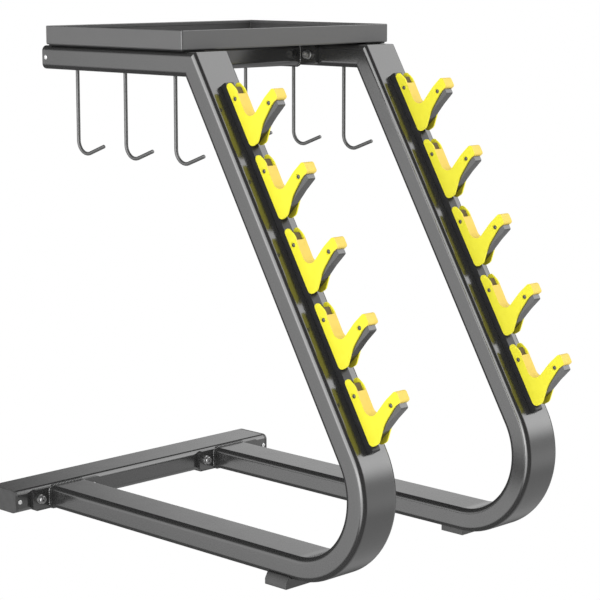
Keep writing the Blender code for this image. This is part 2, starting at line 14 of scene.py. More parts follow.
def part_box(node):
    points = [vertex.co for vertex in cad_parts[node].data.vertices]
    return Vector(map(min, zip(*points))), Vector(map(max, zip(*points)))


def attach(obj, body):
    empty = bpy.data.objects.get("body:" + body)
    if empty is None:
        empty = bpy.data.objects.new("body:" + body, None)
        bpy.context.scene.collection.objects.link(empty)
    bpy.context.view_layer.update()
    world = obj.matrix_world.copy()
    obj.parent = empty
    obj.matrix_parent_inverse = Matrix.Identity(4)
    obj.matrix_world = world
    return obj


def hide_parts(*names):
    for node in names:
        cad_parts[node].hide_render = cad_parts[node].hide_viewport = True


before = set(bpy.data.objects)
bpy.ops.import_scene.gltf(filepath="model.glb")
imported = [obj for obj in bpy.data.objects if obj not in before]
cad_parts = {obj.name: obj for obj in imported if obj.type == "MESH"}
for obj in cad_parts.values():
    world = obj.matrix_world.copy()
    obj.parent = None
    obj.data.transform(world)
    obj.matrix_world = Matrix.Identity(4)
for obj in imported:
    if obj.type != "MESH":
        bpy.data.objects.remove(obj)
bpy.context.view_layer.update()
BODY = "root"

# ---------------------------------------------------------------- places taken from the frame

# The lean, the bend and the tube's corner and wall repeat the CAD's own values. The rest is read from the
# boxes of its nodes.
SIDES = (("left", -1), ("right", 1))
LEAN = math.radians(30.556)
UP = Vector((0, math.sin(LEAN), math.cos(LEAN)))
OUT = Vector((0, -math.cos(LEAN), math.sin(LEAN)))

frame_low, frame_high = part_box("right_side_frame")
rail_low, rail_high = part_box("right_top_rail")
beam_low, beam_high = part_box("rear_base_beam")
cross_low, cross_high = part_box("top_cross_member")

TUBE_WIDTH = frame_high.x - frame_low.x
TUBE_DEPTH = rail_high.z - rail_low.z
TUBE_CORNER = 0.012
TUBE_WALL = 0.003
FRAME_X = (frame_low.x + frame_high.x) / 2
BEND_RADIUS = 0.1844
BEND_ANGLE = math.pi / 2 + LEAN
BEND_CENTRE = Vector((0, frame_low.y + BEND_RADIUS, frame_low.z + BEND_RADIUS))
FACE_START = BEND_CENTRE + OUT * BEND_RADIUS
FACE_FOOT = FACE_START - UP * ((FACE_START.z - frame_low.z) / UP.z)
MITRE_POINT = FACE_FOOT + UP * ((rail_high.z - FACE_FOOT.z) / UP.z)
MITRE_NORMAL = (UP + Vector((0, 1, 0))).normalized()
RAIL_MIDDLE_Z = (rail_low.z + rail_high.z) / 2
BASE_MIDDLE_Z = (beam_low.z + beam_high.z) / 2


def on_upright(along, out):
    """A point (0, y, z) on an upright: distance along its front face, and height over that face."""
    return FACE_FOOT + UP * along + OUT * out


# ---------------------------------------------------------------- materials


def new_material(name):
    made = bpy.data.materials.new(name)
    made.use_nodes = True
    tree = made.node_tree
    return made, tree, tree.nodes["Principled BSDF"]


def noise(tree, scale, detail=4.0, roughness=0.5):
    """A noise texture in the piece's own coordinates, in metres, so that it has one scale on every piece."""
    place = tree.nodes.new("ShaderNodeTexCoord")
    texture = tree.nodes.new("ShaderNodeTexNoise")
    texture.inputs["Scale"].default_value = scale
    texture.inputs["Detail"].default_value = detail
    texture.inputs["Roughness"].default_value = roughness
    tree.links.new(place.outputs["Object"], texture.inputs["Vector"])
    return texture.outputs["Fac"]


def mapped(tree, value, low, high, start=0.3, end=0.7):
    """The value's range from start to end, taken to low..high."""
    node = tree.nodes.new("ShaderNodeMapRange")
    node.inputs["From Min"].default_value = start
    node.inputs["From Max"].default_value = end
    node.inputs["To Min"].default_value = low
    node.inputs["To Max"].default_value = high
    tree.links.new(value, node.inputs["Value"])
    return node.outputs["Result"]


def varied_colour(tree, value, dark, light, start=0.3, end=0.7):
    node = tree.nodes.new("ShaderNodeMix")
    node.data_type = "RGBA"
    node.inputs["A"].default_value = (*dark, 1)
    node.inputs["B"].default_value = (*light, 1)
    tree.links.new(mapped(tree, value, 0, 1, start, end), node.inputs["Factor"])
    return node.outputs["Result"]


def bump(tree, shader, value, distance, strength=1.0):
    node = tree.nodes.new("ShaderNodeBump")
    node.inputs["Distance"].default_value = distance
    node.inputs["Strength"].default_value = strength
    tree.links.new(value, node.inputs["Height"])
    tree.links.new(node.outputs["Normal"], shader.inputs["Normal"])


def paint(name, colour, roughness, metallic, spread=0.06):
    """Gloss metallic paint: fine flake sparkle in the colour, and a faint orange-peel surface."""
    made, tree, shader = new_material(name)
    flakes = noise(tree, 2600, 2.0)
    dark = tuple(channel * (1 - spread) for channel in colour)
    light = tuple(channel * (1 + spread) for channel in colour)
    tree.links.new(varied_colour(tree, flakes, dark, light), shader.inputs["Base Color"])
    clouds = noise(tree, 24, 3.0)
    low, high = roughness * 0.92, roughness * 1.08
    tree.links.new(mapped(tree, clouds, low, high), shader.inputs["Roughness"])
    shader.inputs["Metallic"].default_value = metallic
    bump(tree, shader, noise(tree, 420, 2.0), 0.00002, 0.35)
    return made


def moulded(name, dark, light, roughness, grain_scale, grain_depth, specular=0.5):
    """Moulded plastic or rubber: a fine grain, and a slight unevenness of colour and gloss."""
    made, tree, shader = new_material(name)
    tree.links.new(varied_colour(tree, noise(tree, 60), dark, light), shader.inputs["Base Color"])
    low, high = roughness * 0.88, min(1.0, roughness * 1.12)
    tree.links.new(mapped(tree, noise(tree, 140), low, high), shader.inputs["Roughness"])
    shader.inputs["Specular IOR Level"].default_value = specular
    bump(tree, shader, noise(tree, grain_scale, 3.0), grain_depth, 0.6)
    return made


def grey(level):
    return (level, level, level)


PAINT_GREY = grey(0.145)
FINE_GRAIN = 0.00003
RUBBER_GRAIN = 0.00010

FRAME_PAINT = paint("frame_paint", PAINT_GREY, 0.19, 0.88)
TRAY_PAINT = paint("tray_paint", PAINT_GREY, 0.32, 0.60)
CRADLE_PAINT = paint("cradle_paint", PAINT_GREY, 0.22, 0.85)
# Painted shade, with painted bounce light from the yellow saddle: a brown for a core's front faces in the
# recess behind the seat.
CRADLE_PAINTED_SHADE = moulded(
    "cradle_painted_shade", (0.145, 0.115, 0.062), (0.175, 0.140, 0.078), 0.70, 900, FINE_GRAIN, 0.10
)
HOOK_PAINT = paint("hook_paint", PAINT_GREY, 0.30, 0.5)
BOLT_STEEL = paint("bolt_steel", grey(0.60), 0.30, 0.9)
SCREW_BLACK = paint("screw_black", (0.13, 0.13, 0.12), 0.34, 0.6)
SCREW_STEEL = paint("screw_steel", grey(0.86), 0.42, 0.6, 0.03)
SADDLE_YELLOW = moulded(
    "saddle_yellow", (0.90, 0.84, 0.040), (0.94, 0.88, 0.048), 0.42, 900, FINE_GRAIN, 0.30
)
# Painted shade and painted sheen: a darker, paler copy of the yellow plastic, for a saddle's seat.
SADDLE_SEAT_SHADE_AND_SHEEN = moulded(
    "saddle_seat_shade_and_sheen", (0.83, 0.62, 0.115), (0.87, 0.66, 0.130), 0.46, 900, FINE_GRAIN, 0.30
)
# Painted shade: a darker copy of the yellow plastic, for a saddle's inner walls below the seat.
SADDLE_INSIDE_PAINTED_SHADE = moulded(
    "saddle_inside_painted_shade", (0.36, 0.32, 0.018), (0.42, 0.38, 0.024), 0.60, 900, FINE_GRAIN, 0.10
)
STRIP_BLACK = moulded("strip_black", (0.010, 0.010, 0.011), (0.016, 0.016, 0.017), 0.34, 1200, FINE_GRAIN)
CAP_BLACK = moulded("cap_black", grey(0.045), grey(0.060), 0.38, 1200, FINE_GRAIN)
FOOT_RUBBER = moulded("foot_rubber", grey(0.012), grey(0.020), 0.30, 700, FINE_GRAIN, 1.0)
MAT_RUBBER = moulded("mat_rubber", grey(0.010), grey(0.018), 0.55, 500, RUBBER_GRAIN, 0.2)

# ---------------------------------------------------------------- modelling helpers

X_AXIS = Vector((1, 0, 0))
Y_AXIS = Vector((0, 1, 0))
Z_AXIS = Vector((0, 0, 1))
MERGE_DISTANCE = 0.00002


def placed(mesh, matrix):
    """A copy of the mesh, moved by the matrix, so that its box in the rack's axes is exact."""
    copy = mesh.copy()
    copy.transform(matrix)
    return copy


def mesh_piece(name, mesh, matrix=None):
    obj = bpy.data.objects.new(name, mesh)
    bpy.context.scene.collection.objects.link(obj)
    if matrix is not None:
        obj.matrix_world = matrix
    return obj


def finish_piece(obj, material, slot, *nodes, sharp=35):
    """Gives a piece its material and smooth shading, puts it on the body and hides the CAD nodes that it
    stands for. The slot argument is not used.
    """
    if len(obj.data.materials) == 0:
        obj.data.materials.append(material)
    obj.data.shade_smooth()
    obj.data.set_sharp_from_angle(angle=math.radians(sharp))
    weighted = obj.modifiers.new("weighted", "WEIGHTED_NORMAL")
    weighted.keep_sharp = True
    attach(obj, BODY)
    if nodes:
        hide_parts(*nodes)
    return obj


def soften(obj, width, segments=3, angle=30):
    """Rounds every edge that is sharper than the angle."""
    modifier = obj.modifiers.new("edges", "BEVEL")
    modifier.width = width
    modifier.segments = segments
    modifier.limit_method = "ANGLE"
    modifier.angle_limit = math.radians(angle)
    modifier.harden_normals = False
    return modifier


def mesh_from(bm, name):
    mesh = bpy.data.meshes.new(name)
    bmesh.ops.recalc_face_normals(bm, faces=bm.faces)
    bm.to_mesh(mesh)
    bm.free()
    return mesh


def baked(obj):
    """The object's evaluated mesh with caps welded. The object is removed."""
    bpy.context.view_layer.update()
    graph = bpy.context.evaluated_depsgraph_get()
    mesh = bpy.data.meshes.new_from_object(obj.evaluated_get(graph))
    bm = bmesh.new()
    bm.from_mesh(mesh)
    bmesh.ops.remove_doubles(bm, verts=bm.verts, dist=MERGE_DISTANCE)
    bm.to_mesh(mesh)
    bm.free()
    bpy.data.objects.remove(obj)
    return mesh


def rounded(corners, degrees_per_step=7.5):
    """An outline from (a, b, radius) corners: each sharp corner becomes a tangent arc."""
    points = []
    for index, (a, b, radius) in enumerate(corners):
        here = Vector((a, b))
        before = (Vector(corners[index - 1][:2]) - here).normalized()
        after = (Vector(corners[(index + 1) % len(corners)][:2]) - here).normalized()
        half = before.angle(after) / 2
        if radius == 0:
            points.append(here)
            continue
        centre = here + (before + after).normalized() * (radius / math.sin(half))
        start = here + before * (radius / math.tan(half)) - centre
        sweep = (math.pi - 2 * half) * (-1 if before.cross(after) > 0 else 1)
        steps = max(1, round(abs(math.degrees(sweep)) / degrees_per_step))
        for step in range(steps + 1):
            angle = sweep * step / steps
            turned = Vector((
                start.x * math.cos(angle) - start.y * math.sin(angle),
                start.x * math.sin(angle) + start.y * math.cos(angle),
            ))
            points.append(centre + turned)
    return points


def rectangle(width, depth, corner):
    a, b = width / 2, depth / 2
    return [(-a, -b, corner), (a, -b, corner), (a, b, corner), (-a, b, corner)]


def circle(radius, sides):
    turns = (math.tau * step / sides for step in range(sides))
    return [(radius * math.cos(turn), radius * math.sin(turn)) for turn in turns]


def extruded(name, outline, thickness):
    """A flat outline, extruded evenly to both sides of its plane, as a mesh."""
    curve = bpy.data.curves.new(name, "CURVE")
    curve.dimensions = "2D"
    curve.fill_mode = "BOTH"
    curve.extrude = thickness / 2
    spline = curve.splines.new("POLY")
    spline.points.add(len(outline) - 1)
    for point, (a, b) in zip(spline.points, outline):
        point.co = (a, b, 0, 1)
    spline.use_cyclic_u = True
    mesh = baked(mesh_piece(name, curve))
    bpy.data.curves.remove(curve)
    return mesh


def boolean(obj, mesh, operation="DIFFERENCE", matrix=None):
    """Cuts the mesh out of the object, or joins it on, at once."""
    other = mesh_piece("cutter", mesh, matrix)
    modifier = obj.modifiers.new("boolean", "BOOLEAN")
    modifier.operation = operation
    modifier.object = other
    name = obj.name
    result = baked(obj)
    bpy.data.objects.remove(other)
    return mesh_piece(name, result)


def cylinder(radius, length, sides):
    bm = bmesh.new()
    bmesh.ops.create_cone(bm, cap_ends=True, segments=sides, radius1=radius, radius2=radius, depth=length)
    return mesh_from(bm, "cylinder")


def box(low, high):
    low, high = Vector(low), Vector(high)
    bm = bmesh.new()
    bmesh.ops.create_cube(bm, size=1)
    bmesh.ops.scale(bm, vec=high - low, verts=bm.verts)
    bmesh.ops.translate(bm, vec=(low + high) / 2, verts=bm.verts)
    return mesh_from(bm, "box")


def turned(name, profile, steps=40):
    """A lathe: (radius, height) points from the bottom's middle to the top's middle, about Z."""
    bm = bmesh.new()
    verts = [bm.verts.new((radius, 0, height)) for radius, height in profile]
    edges = [bm.edges.new(pair) for pair in zip(verts, verts[1:])]
    bmesh.ops.spin(
        bm, geom=verts + edges, cent=(0, 0, 0), axis=(0, 0, 1), angle=math.tau, steps=steps, use_merge=True
    )
    bmesh.ops.remove_doubles(bm, verts=bm.verts, dist=MERGE_DISTANCE)
    return mesh_from(bm, name)


def swept(section, rings, closed_path=False):
    """Joins copies of a closed section: each ring is (centre, across, outward) for the section's a and b."""
    bm = bmesh.new()
    loops = []
    for centre, across, outward in rings:
        loops.append([bm.verts.new(centre + across * a + outward * b) for a, b in section])
    count = len(section)
    last = len(loops) if closed_path else len(loops) - 1
    for i in range(last):
        here, there = loops[i], loops[(i + 1) % len(loops)]
        for j in range(count):
            bm.faces.new((here[j], here[(j + 1) % count], there[(j + 1) % count], there[j]))
    return bm


def standing(across):
    """The turn that stands a flat outline upright, with its first axis along the given one."""
    return Matrix((across, Z_AXIS, across.cross(Z_AXIS))).transposed().to_4x4()


def aimed(place, direction):
    """The matrix that stands a Z-axis piece at the place, with its Z along the direction."""
    return Matrix.Translation(place) @ Vector(direction).to_track_quat("Z", "Y").to_matrix().to_4x4()


# ---------------------------------------------------------------- tubes

SECTION_STEP = 9
TUBE_SECTION = rounded(rectangle(TUBE_WIDTH, TUBE_DEPTH, TUBE_CORNER), SECTION_STEP)
BEND_RINGS = 84


def to_mitre(bm, heading):
    """Slides the last ring's points along the tube until they lie in the mitre plane."""
    bm.verts.ensure_lookup_table()
    for vert in bm.verts[-len(TUBE_SECTION):]:
        vert.co += heading * ((MITRE_POINT - vert.co).dot(MITRE_NORMAL) / heading.dot(MITRE_NORMAL))


def hollow(obj):
    wall = obj.modifiers.new("wall", "SOLIDIFY")
    wall.thickness = TUBE_WALL
    wall.offset = -1
    wall.use_even_offset = True


def outward_normals(mesh, inside):
    """Turns an open tube's faces away from a point of its middle line."""
    face = mesh.polygons[0]
    if (face.center - inside).dot(face.normal) < 0:
        mesh.flip_normals()


def painted_tube(rings, node, mitre_heading=None):
    """A hollow painted tube along the rings, cut to the mitre at its last ring if a heading is given."""
    bm = swept(TUBE_SECTION, rings)
    if mitre_heading is not None:
        to_mitre(bm, mitre_heading)
    mesh = mesh_from(bm, node)
    outward_normals(mesh, rings[0][0])
    obj = mesh_piece(f"{node}_painted", mesh)
    hollow(obj)
    finish_piece(obj, FRAME_PAINT, "frame_paint", node, sharp=60)


def make_side_frame(side, node):
    """One tube: the bottom rail from the rear, the front bend, then the upright up to its mitre."""
    middle = BEND_RADIUS - TUBE_DEPTH / 2
    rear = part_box(node)[1].y
    centre = Vector((side * FRAME_X, BEND_CENTRE.y, BEND_CENTRE.z))
    rings = [(centre + Vector((0, rear - BEND_CENTRE.y, -middle)), X_AXIS, -Z_AXIS)]
    for step in range(BEND_RINGS + 1):
        turn = BEND_ANGLE * step / BEND_RINGS
        outward = Vector((0, -math.sin(turn), -math.cos(turn)))
        rings.append((centre + outward * middle, X_AXIS, outward))
    rings.append((rings[-1][0] + UP, X_AXIS, OUT))
    painted_tube(rings, node, UP)


def make_top_rail(side, node):
    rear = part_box(node)[1].y
    start = Vector((side * FRAME_X, rear, RAIL_MIDDLE_Z))
    end = Vector((side * FRAME_X, MITRE_POINT.y, RAIL_MIDDLE_Z))
    painted_tube([(start, X_AXIS, Z_AXIS), (end, X_AXIS, Z_AXIS)], node, (end - start).normalized())


def make_cross_tube(low, high, middle_z, node):
    """A square-ended tube across the rack."""
    middle_y = (low.y + high.y) / 2
    ends = (Vector((low.x, middle_y, middle_z)), Vector((high.x, middle_y, middle_z)))
    painted_tube([(end, Y_AXIS, Z_AXIS) for end in ends], node)


def make_tubes():
    for stem, side in SIDES:
        make_side_frame(side, f"{stem}_side_frame")
        make_top_rail(side, f"{stem}_top_rail")
    make_cross_tube(beam_low, beam_high, BASE_MIDDLE_Z, "rear_base_beam")
    make_cross_tube(cross_low, cross_high, RAIL_MIDDLE_Z, "top_cross_member")


# ---------------------------------------------------------------- flanges, bolts, caps and welds

FLANGE_CORNER = 0.008
FLANGE_EDGE = 0.0034
WELD_RADIUS = 0.0034
WELD_RIPPLE = 0.0004
WELD_PITCH = 0.0042
WELD_SINK = 0.0004
WELD_ARC_STEP = 15

# A socket cap bolt on its washer, as (radius, height): from the middle of the washer's underside, out and up
# to the middle of the head's top.
BOLT_PROFILE = (
    (0.0, 0.0),
    (0.0100, 0.0),
    (0.0102, 0.0003),
    (0.0102, 0.0014),
    (0.0098, 0.0017),
    (0.0086, 0.0017),
    (0.0086, 0.0092),
    (0.0083, 0.0102),
    (0.0075, 0.0109),
    (0.0, 0.0110),
)
BOLT_TOP = BOLT_PROFILE[-1][1]
BOLT_SOCKET_RADIUS = 0.0046
BOLT_SOCKET_DEPTH = 0.005
BOLT_SHANK_RADIUS = 0.0047
BOLT_SHANK_LENGTH = 0.030
BOLT_GAP = 0.0002

CAP_EDGE = 0.0022
CAP_SCREW_RADIUS = 0.0048
CAP_SCREW_HEIGHT = 0.0021
SCREW_DOME_STEPS = 8
SCREW_DOME_FOOT = 0.35
SCREW_SOCKET_WIDTH = 0.42
SCREW_SOCKET_DEPTH = 0.60


def make_flange(node, across, normal):
    """A painted plate with rounded corners and edges; across is its long side."""
    low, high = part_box(node)
    size = high - low
    length = abs(size.dot(across))
    thickness = abs(size.dot(normal))
    outline = rounded(rectangle(length, size.z, FLANGE_CORNER), SECTION_STEP)
    mesh = extruded(f"{node}_painted", outline, thickness)
    mesh.transform(Matrix.Translation((low + high) / 2) @ standing(across))
    obj = mesh_piece(f"{node}_painted", mesh)
    soften(obj, FLANGE_EDGE, 5)
    finish_piece(obj, FRAME_PAINT, "frame_paint", node)


def make_weld(name, centre, across, normal):
    """A rippled fillet weld round a tube's end, on the plate that the normal points away from."""
    points = []
    for a, b in zip(TUBE_SECTION, TUBE_SECTION[1:] + TUBE_SECTION[:1]):
        pieces = max(1, round((b - a).length / (WELD_PITCH / 4)))
        points += [a.lerp(b, i / pieces) for i in range(pieces)]
    rings = []
    run = 0.0
    for index, point in enumerate(points):
        before, after = points[index - 1], points[(index + 1) % len(points)]
        run += (point - before).length
        heading = (after - before).normalized()
        swell = 1 + WELD_RIPPLE / WELD_RADIUS * math.sin(math.tau * run / WELD_PITCH)
        outward = (across * heading.y - Z_AXIS * heading.x) * swell
        place = centre + across * point.x + Z_AXIS * point.y
        rings.append((place, outward, normal * swell))
    turns = (math.radians(angle) for angle in range(0, 91, WELD_ARC_STEP))
    arc = [Vector((math.cos(turn), math.sin(turn))) * WELD_RADIUS for turn in turns]
    section = [Vector((-WELD_SINK, -WELD_SINK)), *arc]
    obj = mesh_piece(name, mesh_from(swept(section, rings, closed_path=True), name))
    finish_piece(obj, FRAME_PAINT, "frame_paint", sharp=70)


def bolt_mesh():
    """A socket cap bolt on a washer, with its shank, standing on z = 0."""
    head = mesh_piece("bolt_head", turned("bolt_head", BOLT_PROFILE))
    socket = cylinder(BOLT_SOCKET_RADIUS, 2 * BOLT_SOCKET_DEPTH, 6)
    head = boolean(head, socket, matrix=Matrix.Translation((0, 0, BOLT_TOP)))
    shank = cylinder(BOLT_SHANK_RADIUS, BOLT_SHANK_LENGTH, 24)
    shank_middle = BOLT_GAP - BOLT_SHANK_LENGTH / 2
    head = boolean(head, shank, "UNION", Matrix.Translation((0, 0, shank_middle)))
    mesh = head.data
    bpy.data.objects.remove(head)
    return mesh


def make_bolts():
    """Each bolt stands just clear of its flange."""
    mesh = bolt_mesh()
    for stem, side in SIDES:
        for place in ("outer", "inner"):
            node = f"{stem}_lower_{place}_bolt"
            low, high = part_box(node)
            seat_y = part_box(f"{stem}_lower_flange")[0].y
            seat = Vector(((low.x + high.x) / 2, seat_y - BOLT_GAP, (low.z + high.z) / 2))
            obj = mesh_piece(f"{node}_steel", mesh, aimed(seat, (0, -1, 0)))
            finish_piece(obj, BOLT_STEEL, "bolt_steel", node)
        for place in ("front", "rear"):
            node = f"{stem}_upper_{place}_bolt"
            low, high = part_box(node)
            flange_low, flange_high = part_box(f"{stem}_upper_flange")
            seat_x = flange_high.x if side < 0 else flange_low.x
            seat = Vector((seat_x - side * BOLT_GAP, (low.y + high.y) / 2, (low.z + high.z) / 2))
            obj = mesh_piece(f"{node}_steel", mesh, aimed(seat, (-side, 0, 0)))
            finish_piece(obj, BOLT_STEEL, "bolt_steel", node)


def make_cap(node, axis, tube_end, across, material):
    """The plate of an end cap, from the tube's end out along the axis. The plug inside isn't made."""
    low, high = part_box(node)
    outer_face = high[axis] if tube_end > 0 else low[axis]
    mesh = extruded(node, TUBE_SECTION, abs(outer_face - tube_end))
    middle = (low + high) / 2
    middle[axis] = (outer_face + tube_end) / 2
    mesh.transform(Matrix.Translation(middle) @ standing(across))
    obj = mesh_piece(f"{node}_moulded", mesh)
    soften(obj, CAP_EDGE, 5)
    finish_piece(obj, material, "black_plastic", node)


def make_caps():
    for stem, side in SIDES:
        rail_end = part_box(f"{stem}_top_rail")[1].y
        make_cap(f"{stem}_top_rail_end_cap", 1, rail_end, X_AXIS, FRAME_PAINT)
        make_cap(f"{stem}_beam_end_cap", 0, side * beam_high.x, Y_AXIS, CAP_BLACK)


def screw_mesh(radius, height):
    """A button-head screw with a hex socket, standing on z = 0."""
    turns = (math.pi / 2 * step / SCREW_DOME_STEPS for step in range(SCREW_DOME_STEPS))
    dome = [
        (radius * math.cos(turn), height * (SCREW_DOME_FOOT + (1 - SCREW_DOME_FOOT) * math.sin(turn)))
        for turn in turns
    ]
    profile = [(0.0, 0.0), (radius, 0.0), *dome, (0.0, height)]
    head = mesh_piece("screw_head", turned("screw_head", profile, 32))
    socket = cylinder(radius * SCREW_SOCKET_WIDTH, 2 * height * SCREW_SOCKET_DEPTH, 6)
    head = boolean(head, socket, matrix=Matrix.Translation((0, 0, height)))
    mesh = head.data
    bpy.data.objects.remove(head)
    return mesh


def make_cap_screws():
    mesh = screw_mesh(CAP_SCREW_RADIUS, CAP_SCREW_HEIGHT)
    for stem, side in SIDES:
        rail_x = side * (FRAME_X + TUBE_WIDTH / 2)
        for node, axis, face, normal in (
            (f"{stem}_rail_cap_screw", 0, rail_x, (side, 0, 0)),
            (f"{stem}_beam_cap_screw", 1, beam_low.y, (0, -1, 0)),
        ):
            low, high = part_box(node)
            seat = (low + high) / 2
            seat[axis] = face
            obj = mesh_piece(f"{node}_steel", mesh, aimed(seat, normal))
            finish_piece(obj, SCREW_STEEL, "screw_steel", node)


def make_joints():
    for stem, side in SIDES:
        make_flange(f"{stem}_lower_flange", X_AXIS, Y_AXIS)
        make_flange(f"{stem}_upper_flange", Y_AXIS, X_AXIS)
        lower_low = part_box(f"{stem}_lower_flange")[0]
        centre = Vector((side * FRAME_X, lower_low.y, BASE_MIDDLE_Z))
        make_weld(f"{stem}_lower_weld", centre, X_AXIS, -Y_AXIS)
        upper_low, upper_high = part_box(f"{stem}_upper_flange")
        inner_x = upper_high.x if side < 0 else upper_low.x
        centre = Vector((inner_x, (cross_low.y + cross_high.y) / 2, RAIL_MIDDLE_Z))
        make_weld(f"{stem}_upper_weld", centre, Y_AXIS, -X_AXIS * side)
    make_bolts()
    make_caps()
    make_cap_screws()


# ---------------------------------------------------------------- tray

TRAY_SHEET = 0.0015
TRAY_CORNER = 0.0035
TRAY_LEAST_CORNER = 0.0008
TRAY_FOLD = 0.003
FOLD_BEVEL = (0.0008, 0.0004)
HEM_RADIUS = 0.0016
HEM_DROP = 0.006
HEM_STEP = 0.0005
CORNER_STEP = 15
RUNNER_WIDTH = 0.060
RUNNER_SIDE_INSET = 0.001
RUNNER_END_INSET = 0.004
RUNNER_GAP = 0.0001
RUNNER_EDGE = 0.0006
MAT_GAP = 0.0003
MAT_CORNER = 0.004
MAT_EDGE = 0.0010


def tray_section(floor_z, rim_z):
    """(inset, height) of the sheet: up the wall from the bottom fold, over the hem and back down inside."""
    top_z = rim_z - HEM_RADIUS
    bottom = [
        (TRAY_FOLD * (1 - math.sin(turn)), floor_z + TRAY_FOLD * (1 - math.cos(turn)))
        for turn in (math.pi / 2 * step / 5 for step in range(6))
    ]
    hem = [
        (HEM_RADIUS * (1 - math.cos(turn)), top_z + HEM_RADIUS * math.sin(turn))
        for turn in (math.pi * step / 10 for step in range(11))
    ]
    inner = [
        (2 * HEM_RADIUS, top_z - HEM_DROP),
        (TRAY_SHEET, top_z - HEM_DROP - HEM_STEP),
        (TRAY_SHEET, floor_z + TRAY_FOLD),
        (TRAY_SHEET + FOLD_BEVEL[0], floor_z + TRAY_SHEET + FOLD_BEVEL[1]),
        (TRAY_FOLD, floor_z + TRAY_SHEET),
    ]
    return bottom + hem + inner


def make_tray_sheet(low, high, floor_z):
    middle = (low + high) / 2
    bm = bmesh.new()
    loops = []
    for inset, z in tray_section(floor_z, high.z):
        corner = max(TRAY_CORNER - inset, TRAY_LEAST_CORNER)
        shape = rectangle(high.x - low.x - 2 * inset, high.y - low.y - 2 * inset, corner)
        outline = rounded(shape, CORNER_STEP)
        loops.append([bm.verts.new((middle.x + point.x, middle.y + point.y, z)) for point in outline])
    count = len(loops[0])
    for here, there in zip(loops, loops[1:]):
        for j in range(count):
            bm.faces.new((here[j], here[(j + 1) % count], there[(j + 1) % count], there[j]))
    bm.faces.new(loops[0])
    bm.faces.new(loops[-1])
    tray = mesh_piece("storage_tray_sheet", mesh_from(bm, "storage_tray_sheet"))
    finish_piece(tray, TRAY_PAINT, "tray_paint", "storage_tray")


def make_tray_runner(side, name, low, high, floor_z):
    """The thin rubber strip between a top rail and the tray."""
    outer = side * (FRAME_X + TUBE_WIDTH / 2 - RUNNER_SIDE_INSET)
    inner = outer - side * RUNNER_WIDTH
    mesh = box(
        (min(outer, inner), low.y + RUNNER_END_INSET, rail_high.z + RUNNER_GAP),
        (max(outer, inner), high.y - RUNNER_END_INSET, floor_z - RUNNER_GAP),
    )
    runner = mesh_piece(name, mesh)
    soften(runner, RUNNER_EDGE, 2)
    finish_piece(runner, MAT_RUBBER, "rubber")


def make_tray_mat(low, high):
    outline = rounded(rectangle(high.x - low.x, high.y - low.y, MAT_CORNER), CORNER_STEP)
    mesh = extruded("tray_mat_rubber", outline, high.z - low.z)
    mesh.transform(Matrix.Translation((low + high) / 2))
    mat = mesh_piece("tray_mat_rubber", mesh)
    soften(mat, MAT_EDGE, 3)
    finish_piece(mat, MAT_RUBBER, "rubber", "tray_mat")


def make_tray():
    low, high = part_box("storage_tray")
    mat_low, mat_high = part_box("tray_mat")
    floor_z = mat_low.z - TRAY_SHEET - MAT_GAP
    make_tray_sheet(low, high, floor_z)
    for stem, side in SIDES:
        make_tray_runner(side, f"{stem}_tray_runner", low, high, floor_z)
    make_tray_mat(mat_low, mat_high)


# ---------------------------------------------------------------- hooks

HOOK_BEND = 0.0285
HOOK_RISE = math.radians(20.5)
HOOK_STEPS = 28
HOOK_SIDES = 20
HOOK_SINK = 0.0004
# The tip tapers to this part of the rod's size, over this part of its radius.
HOOK_TIP_SIZE = 0.72
HOOK_TIP_LENGTH = 0.35
# The weld under the rail: (reach past the rod, height), from its foot up to the rail.
COLLAR = ((0.0001, -0.0034), (0.0006, -0.0022), (0.0018, -0.0010), (0.0026, 0.0))
COLLAR_DEPTH = 0.0036


def hook_path(low, high, radius):
    """The rod's middle line as (y, z): down from inside the rail, round the bend and up to the tip."""
    rod_y = high.y - radius
    bend_z = low.z + radius + HOOK_BEND
    path = [Vector((rod_y, rail_low.z + HOOK_SINK)), Vector((rod_y, bend_z))]
    for step in range(1, HOOK_STEPS + 1):
        turn = (math.pi / 2 + HOOK_RISE) * step / HOOK_STEPS
        path.append(Vector((
            rod_y - HOOK_BEND + HOOK_BEND * math.cos(turn),
            bend_z - HOOK_BEND * math.sin(turn),
        )))
    last = path[-1]
    kick = Vector((-math.cos(HOOK_RISE), math.sin(HOOK_RISE)))
    tip_y = low.y + radius * math.sin(HOOK_RISE)
    length = (last.x - tip_y) / math.cos(HOOK_RISE)
    path.append(last + kick * (length - radius * HOOK_TIP_LENGTH))
    path.append(last + kick * length)
    return path


def hook_mesh(name, path, radius, x):
    """The bent rod along the path, closed at both ends."""
    rings = []
    for index, point in enumerate(path):
        before = path[max(index - 1, 0)]
        after = path[min(index + 1, len(path) - 1)]
        heading = (after - before).normalized()
        outward = Vector((0, heading.y, -heading.x))
        size = HOOK_TIP_SIZE if index == len(path) - 1 else 1.0
        rings.append((Vector((x, point.x, point.y)), X_AXIS * size, outward * size))
    bm = swept(circle(radius, HOOK_SIDES), rings)
    bm.verts.ensure_lookup_table()
    bm.faces.new(bm.verts[:HOOK_SIDES])
    bm.faces.new(bm.verts[-HOOK_SIDES:])
    return mesh_from(bm, name)


